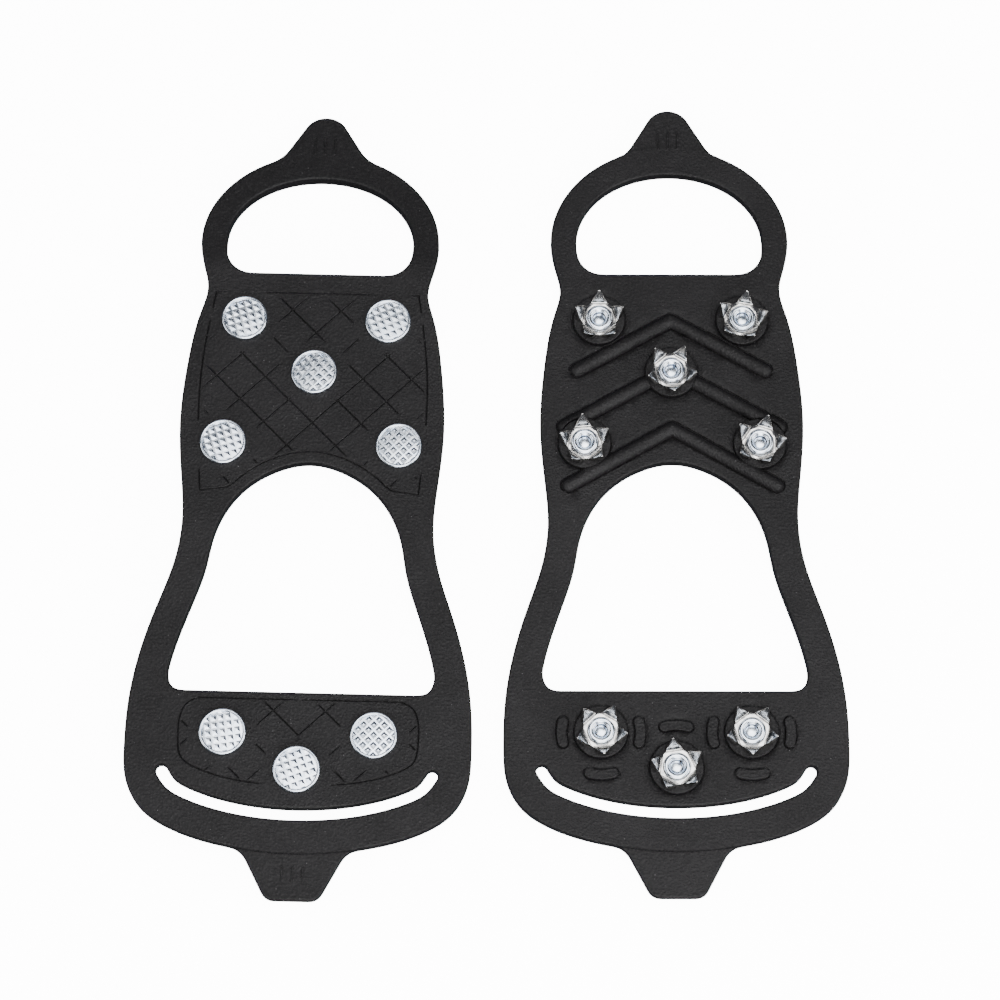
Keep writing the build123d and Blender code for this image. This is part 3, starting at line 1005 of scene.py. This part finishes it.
def zinc_plating():
    material, tree = new_material("bright_zinc_plating")
    coords = add(tree, "ShaderNodeTexCoord", result="Object")
    patches = add(tree, "ShaderNodeTexNoise", {
        "Vector": coords, "Scale": 1 / (ZINC_PATCH_MM * MM), "Detail": 2.0, "Roughness": 0.5}, "Fac")
    share = add(tree, "ShaderNodeMapRange", {"Value": patches, "From Min": 0.35, "From Max": 0.7}, "Result")
    body = add(tree, "ShaderNodeMix", {
        "Factor": share, 6: linear("#bfc9d6"), 7: linear("#e6ebf2")}, 2, data_type="RGBA")
    gloss = add(tree, "ShaderNodeMapRange", {
        "Value": patches, "From Min": 0.3, "From Max": 0.7, "To Min": 0.19, "To Max": 0.27}, "Result")
    uneven = add(tree, "ShaderNodeBump", {
        "Height": patches, "Distance": 0.03 * MM, "Strength": 0.25}, "Normal")
    shader = add(tree, "ShaderNodeBsdfPrincipled", {
        "Base Color": body, "Metallic": 1.0, "Roughness": gloss, "Normal": uneven}, "BSDF")
    add(tree, "ShaderNodeOutputMaterial", {"Surface": shader})
    return material


ZINC = zinc_plating()
print(ZINC.name, "has", len(ZINC.node_tree.nodes), "nodes")

# %% [markdown]
# ### Plated stamped steel
# The stars are blanked and folded from strip, then tumbled and plated, so their flats shine like dull
# chrome. They have small dents from the tumbling and fine drag lines from the press tool. The drag lines
# are noise that is stretched along one direction.

# %% Star plating
DRAG_MM = 0.25
DRAG_STRETCH = (1.0, 0.12, 1.0)
DENT_MM = 1.6


def star_plating():
    material, tree = new_material("plated_stamped_steel")
    coords = add(tree, "ShaderNodeTexCoord", result="Object")
    stretched = add(tree, "ShaderNodeMapping", {"Vector": coords, "Scale": DRAG_STRETCH}, "Vector")
    drag = add(tree, "ShaderNodeTexNoise", {
        "Vector": stretched, "Scale": 1 / (DRAG_MM * MM), "Detail": 2.0, "Roughness": 0.5}, "Fac")
    patches = add(tree, "ShaderNodeTexNoise", {
        "Vector": coords, "Scale": 1 / (DENT_MM * MM), "Detail": 3.0, "Roughness": 0.6}, "Fac")
    share = add(tree, "ShaderNodeMapRange", {"Value": patches, "From Min": 0.3, "From Max": 0.7}, "Result")
    body = add(tree, "ShaderNodeMix", {
        "Factor": share, 6: linear("#8e8d8c"), 7: linear("#cbc9c6")}, 2, data_type="RGBA")
    gloss = add(tree, "ShaderNodeMapRange", {
        "Value": drag, "From Min": 0.3, "From Max": 0.7, "To Min": 0.12, "To Max": 0.17}, "Result")
    dents = add(tree, "ShaderNodeBump", {"Height": patches, "Distance": 0.03 * MM, "Strength": 0.3}, "Normal")
    lines = add(tree, "ShaderNodeBump", {
        "Height": drag, "Distance": 0.001 * MM, "Strength": 0.3, "Normal": dents}, "Normal")
    shader = add(tree, "ShaderNodeBsdfPrincipled", {
        "Base Color": body, "Metallic": 1.0, "Roughness": gloss, "Normal": lines}, "BSDF")
    add(tree, "ShaderNodeOutputMaterial", {"Surface": shader})
    return material


PLATED = star_plating()
print(PLATED.name, "has", len(PLATED.node_tree.nodes), "nodes")

# %% [markdown]
# ## Studs by Geometry Nodes
# Eight studs a cleat are the same two pieces, so Geometry Nodes place them. The knurl on a head is itself
# a grid of small pyramids on a slight dome, kept only inside the round field by an exact intersection
# with a drum. A copy of the finished piece then goes on each stud. Each tree ends in Realize Instances
# and Set Material.

# %% What both trees share
def new_tree(name, sockets):
    """A Geometry Nodes tree with the named inputs, and the outputs of its input node."""
    tree = bpy.data.node_groups.new(name, "GeometryNodeTree")
    tree.interface.new_socket("Geometry", in_out="OUTPUT", socket_type="NodeSocketGeometry")
    tree.interface.new_socket("Studs", in_out="INPUT", socket_type="NodeSocketGeometry")
    for label, kind in sockets.items():
        tree.interface.new_socket(label, in_out="INPUT", socket_type=f"NodeSocket{kind}")
    return tree, add(tree, "NodeGroupInput").outputs


def on_studs(tree, given, piece):
    """End a tree: a copy of the piece on each stud, turned by the stud's attribute, made real and coated."""
    turn = add(tree, "GeometryNodeInputNamedAttribute", {"Name": "turn"}, 0, data_type="FLOAT")
    turn = add(tree, "ShaderNodeCombineXYZ", {"Z": turn}, 0)
    copies = add(tree, "GeometryNodeInstanceOnPoints", {
        "Points": given["Studs"], "Instance": piece, "Rotation": turn}, 0)
    solid = add(tree, "GeometryNodeRealizeInstances", {"Geometry": copies}, 0)
    coated = add(tree, "GeometryNodeSetMaterial", {"Geometry": solid, "Material": given["Finish"]}, 0)
    add(tree, "NodeGroupOutput", {"Geometry": coated})
    print(tree.name, "has", len(tree.nodes), "nodes")
    return tree


# %% The rivets' tree and the stars' tree
KNURLS_ACROSS = 7
KNURL_PITCH = 1.85
KNURL_HEIGHT = 0.38
KNURL_TOP, KNURL_FOOT = 0.13, 0.63     # a pyramid's corner radii, as shares of the pitch
KNURL_FIELD = FIELD_RADIUS + 0.05      # the pyramids are cut off just inside the rim's bead
KNURL_SINK = 0.06                      # how far their feet are sunk into the field
KNURL_TURNS = (18, 25, 45, 20, 45, 10, 45, 22)          # degrees, as each rivet fell into the press
DRUM_SIDES = 64


def rivet_tree():
    tree, given = new_tree("knurled_rivets", {
        "Blank": "Object", "Knurls Across": "Int", "Knurl Pitch": "Float", "Knurl Height": "Float",
        "Field Radius": "Float", "Field Level": "Float", "Dome": "Float", "Finish": "Material"})
    pitch, count = given["Knurl Pitch"], given["Knurls Across"]
    gaps = add(tree, "ShaderNodeMath", {0: count, 1: 1.0}, 0, operation="SUBTRACT")
    width = add(tree, "ShaderNodeMath", {0: pitch, 1: gaps}, 0, operation="MULTIPLY")
    grid = add(tree, "GeometryNodeMeshGrid", {
        "Size X": width, "Size Y": width, "Vertices X": count, "Vertices Y": count}, 0)
    place = add(tree, "GeometryNodeInputPosition", result=0)
    reach = add(tree, "ShaderNodeVectorMath", {0: place}, "Value", operation="LENGTH")
    share = add(tree, "ShaderNodeMath", {0: reach, 1: given["Field Radius"]}, 0, operation="DIVIDE")
    square = add(tree, "ShaderNodeMath", {0: share, 1: 2.0}, 0, operation="POWER")
    fall = add(tree, "ShaderNodeMath", {0: 1.0, 1: square}, 0, operation="SUBTRACT")
    rise = add(tree, "ShaderNodeMath", {0: given["Dome"], 1: fall}, 0, operation="MULTIPLY")
    level = add(tree, "ShaderNodeMath", {0: given["Field Level"], 1: rise}, 0, operation="ADD")
    lift = add(tree, "ShaderNodeCombineXYZ", {"Z": level}, 0)
    field = add(tree, "GeometryNodeSetPosition", {"Geometry": grid, "Offset": lift}, 0)
    top, foot = (
        add(tree, "ShaderNodeMath", {0: pitch, 1: size}, 0, operation="MULTIPLY")
        for size in (KNURL_TOP, KNURL_FOOT))
    pyramid = add(tree, "GeometryNodeMeshCone", {
        "Vertices": 4, "Radius Top": top, "Radius Bottom": foot, "Depth": given["Knurl Height"]}, 0)
    knurl = add(tree, "GeometryNodeInstanceOnPoints", {
        "Points": field, "Instance": pyramid, "Rotation": (0, 0, math.pi / 4)}, 0)
    knurl = add(tree, "GeometryNodeRealizeInstances", {"Geometry": knurl}, 0)
    depth = add(tree, "ShaderNodeMath", {0: given["Field Level"], 1: 3.0}, 0, operation="MULTIPLY")
    drum = add(tree, "GeometryNodeMeshCylinder", {
        "Vertices": DRUM_SIDES, "Radius": given["Field Radius"], "Depth": depth}, 0)
    cut = add(tree, "GeometryNodeMeshBoolean", {1: knurl}, operation="INTERSECT", solver="EXACT")
    tree.links.new(drum, cut.inputs[1])
    knurl = add(tree, "GeometryNodeSetShadeSmooth", {"Geometry": cut.outputs[0], "Shade Smooth": False}, 0)
    blank = add(tree, "GeometryNodeObjectInfo", {"Object": given["Blank"]}, "Geometry")
    head = add(tree, "GeometryNodeJoinGeometry", {"Geometry": blank})
    tree.links.new(knurl, head.inputs["Geometry"])
    return on_studs(tree, given, head.outputs[0])


def star_tree():
    tree, given = new_tree("star_crowns", {"Blank": "Object", "Finish": "Material"})
    blank = add(tree, "GeometryNodeObjectInfo", {"Object": given["Blank"]}, "Geometry")
    return on_studs(tree, given, blank)


RIVETS, STARS = rivet_tree(), star_tree()

# %% [markdown]
# ### Where the studs are
# A stud's place and its star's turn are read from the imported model. A star's turn is the fivefold angle
# of the tips of its teeth: the angles are multiplied by five, so that all five tips agree, and their mean
# is divided by five.

# %% Read the studs from the frame
def local_points(node, side):
    """A CAD node's points in the cleat's own millimetres."""
    back = PLACE[side].inverted()
    return np.array([back @ vertex.co for vertex in frame["nodes"][node].data.vertices])


def stud_of(side, number):
    """A stud's middle and its star's turn."""
    star = local_points(f"{side}_star_{number}", side)
    middle = (star.min(axis=0) + star.max(axis=0)) / 2
    rivet = local_points(f"{side}_rivet_{number}", side)
    middle = (rivet.min(axis=0) + rivet.max(axis=0))[:2] / 2
    arm = star[:, :2] - middle
    reach = np.hypot(*arm.T)
    tips = arm[reach > reach.max() - 0.4]
    turn = np.angle(np.sum(np.exp(1j * TEETH * np.arctan2(tips[:, 1], tips[:, 0])))) / TEETH
    return middle, turn


def instanced(name, studs, tree, inputs, place):
    """Run a tree on a few points, then keep the result as one plain mesh laid in place."""
    mesh = bpy.data.meshes.new(name)
    mesh.from_pydata([(*middle, 0.0) for middle, _ in studs], [], [])
    turns = mesh.attributes.new("turn", "FLOAT", "POINT")
    turns.data.foreach_set("value", [turn for _, turn in studs])
    piece = new_object(name, mesh)
    modifier = piece.modifiers.new("studs", "NODES")
    modifier.node_group = tree
    for socket in tree.interface.items_tree:
        if socket.in_out == "INPUT" and socket.name in inputs:
            modifier[socket.identifier] = inputs[socket.name]
    piece.data = applied(piece)
    piece.data.transform(place)
    print(name, len(studs), "studs", len(piece.data.polygons), "faces")
    return piece


# %% Make the rivets and the stars
STUDS_ON = {"heel": range(1, 6), "forefoot": range(6, 9)}
rivet_inputs = {
    "Blank": rivet_blank, "Knurls Across": KNURLS_ACROSS, "Knurl Pitch": KNURL_PITCH,
    "Knurl Height": KNURL_HEIGHT,
    "Field Radius": KNURL_FIELD, "Field Level": HEAD_TOP - FIELD_DEPTH - KNURL_SINK, "Dome": FIELD_DOME,
    "Finish": ZINC}
studs = {}
for side, place in PLACE.items():
    for part, numbers in STUDS_ON.items():
        found = [stud_of(side, number) for number in numbers]
        print(side, part, [round(math.degrees(turn), 1) for _, turn in found])
        heads = [(stud[0], math.radians(KNURL_TURNS[number - 1])) for number, stud in zip(numbers, found)]
        studs[side, part, "rivet"] = instanced(f"{side}_{part}_rivets", heads, RIVETS, rivet_inputs, place)
        studs[side, part, "star"] = instanced(
            f"{side}_{part}_stars", found, STARS, {"Blank": star_blank, "Finish": PLATED}, place)
for blank in (rivet_blank, star_blank):
    bpy.data.objects.remove(blank)

# %% [markdown]
# ## Hand the studs to their bodies
# The studs ride on the pad that they are riveted through. Each length of rubber gets its finish and stays
# where it was laid. The imported parts that the new pieces stand for are hidden.

# %% Ride, replace and give the rubber its finish
BLENDS = {
    "heel_loop": ("heel", "heel_loop_body", HEEL_BEND, ["heel_loop"]),
    "sole": ("heel", "forefoot", ARCH_BEND, ["heel_pad", "forefoot_pad"]),
    "toe_strap": ("forefoot", "toe_strap_body", TOE_BEND, ["toe_strap"])}
for (side, kind), piece in rubber.items():
    body, bent_body, bend_run, nodes = BLENDS[kind]
    piece.data.materials.append(RUBBER)
    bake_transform(piece)
    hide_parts(*[f"{side}_{node}" for node in nodes])
for (side, part, kind), piece in studs.items():
    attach(piece, f"{side}_{part}")
    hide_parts(*[f"{side}_{kind}_{number}" for number in STUDS_ON[part]])
print("pieces", len(rubber) + len(studs))

# %% [markdown]
# ## Floor and light
# Black rubber and bright zinc are both hard to show on white: light strong enough to whiten a card would
# grey the rubber. So the floor is an opal light table that glows by itself, and only the camera sees its
# glow. The boxes above are kept gentle. The overhead box stands above the pair, a little towards the
# toes, where the rubber takes its sheen. A second high box is beyond the toes, and low boxes all round
# give the facets of the knurls and the folded teeth something to mirror.

# %% Floor
FLOOR_SIZE = 6.0
FLOOR_GAP = 0.0002                     # below the pair, so that no face lies in the floor's plane
FLOOR_GLOW = 12.0


def opal_table():
    material, tree = new_material("opal_light_table")
    shader = add(tree, "ShaderNodeBsdfPrincipled", {
        "Base Color": linear("#f4f4f4"), "Roughness": 0.9, "Emission Color": linear("#ffffff"),
        "Emission Strength": FLOOR_GLOW}, "BSDF")
    add(tree, "ShaderNodeOutputMaterial", {"Surface": shader})
    return material


bpy.ops.mesh.primitive_plane_add(size=FLOOR_SIZE, location=(0, 0, cad_box[0].z - FLOOR_GAP))
floor = bpy.context.object
floor.name = "floor"
floor.data.materials.append(opal_table())
floor.visible_glossy = False           # the walls of the rubber's openings would mirror the glow
floor.visible_diffuse = False
floor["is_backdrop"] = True
print("floor", FLOOR_SIZE, "m square")

# %% Lights
OVERHEAD_BOX = dict(location=(0.12, -0.05, 1.15), width=0.8, depth=0.8, glow=7.0)
TOE_HIGH_BOX = dict(location=(0.1, -0.85, 0.95), width=0.9, depth=0.6, glow=5.0)
SIDE_BOX = dict(width=0.7, depth=0.4)
SIDE_REACH, SIDE_HEIGHT = 0.9, 0.45
SIDE_GLOWS = {"heel": (90, 1.0), "left": (190, 5.0), "toe": (275, 9.0), "right": (340, 9.0)}   # bearing, glow
SURROUND, SURROUND_GLOW = "#e6eefc", 0.14


def soft_box(name, location, width, depth, glow):
    """An area light that faces the middle of the pair. glow is the radiance of its face."""
    data = bpy.data.lights.new(name, "AREA")
    data.shape = "RECTANGLE"
    data.size, data.size_y = width, depth
    data.energy = glow * math.pi * width * depth
    light = new_object(name, data)
    light.location = location
    light.rotation_euler = (-Vector(location)).to_track_quat("-Z", "Y").to_euler()
    print(name, round(data.energy, 2), "W")


soft_box("overhead_box", **OVERHEAD_BOX)
soft_box("toe_high_box", **TOE_HIGH_BOX)
for name, (bearing, glow) in SIDE_GLOWS.items():
    turn = math.radians(bearing)
    location = (SIDE_REACH * math.cos(turn), SIDE_REACH * math.sin(turn), SIDE_HEIGHT)
    soft_box(f"{name}_side_box", location, glow=glow, **SIDE_BOX)
world = bpy.data.worlds.new("surround")
world.use_nodes = True
surround = world.node_tree.nodes["Background"]
surround.inputs["Color"].default_value = linear(SURROUND)
surround.inputs["Strength"].default_value = SURROUND_GLOW
bpy.context.scene.world = world

# %% [markdown]
# ## The size of the finished pair
# The finished surfaces are meant to fill the same box as the imported model. Both boxes are printed for
# comparison.

# %% Print the two boxes
visual_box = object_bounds()
sizes = {"cad": [list(corner) for corner in cad_box], "visual": [list(corner) for corner in visual_box]}
for name, (low, high) in sizes.items():
    print(name, "box in mm", [round(1000 * (b - a), 2) for a, b in zip(low, high)])
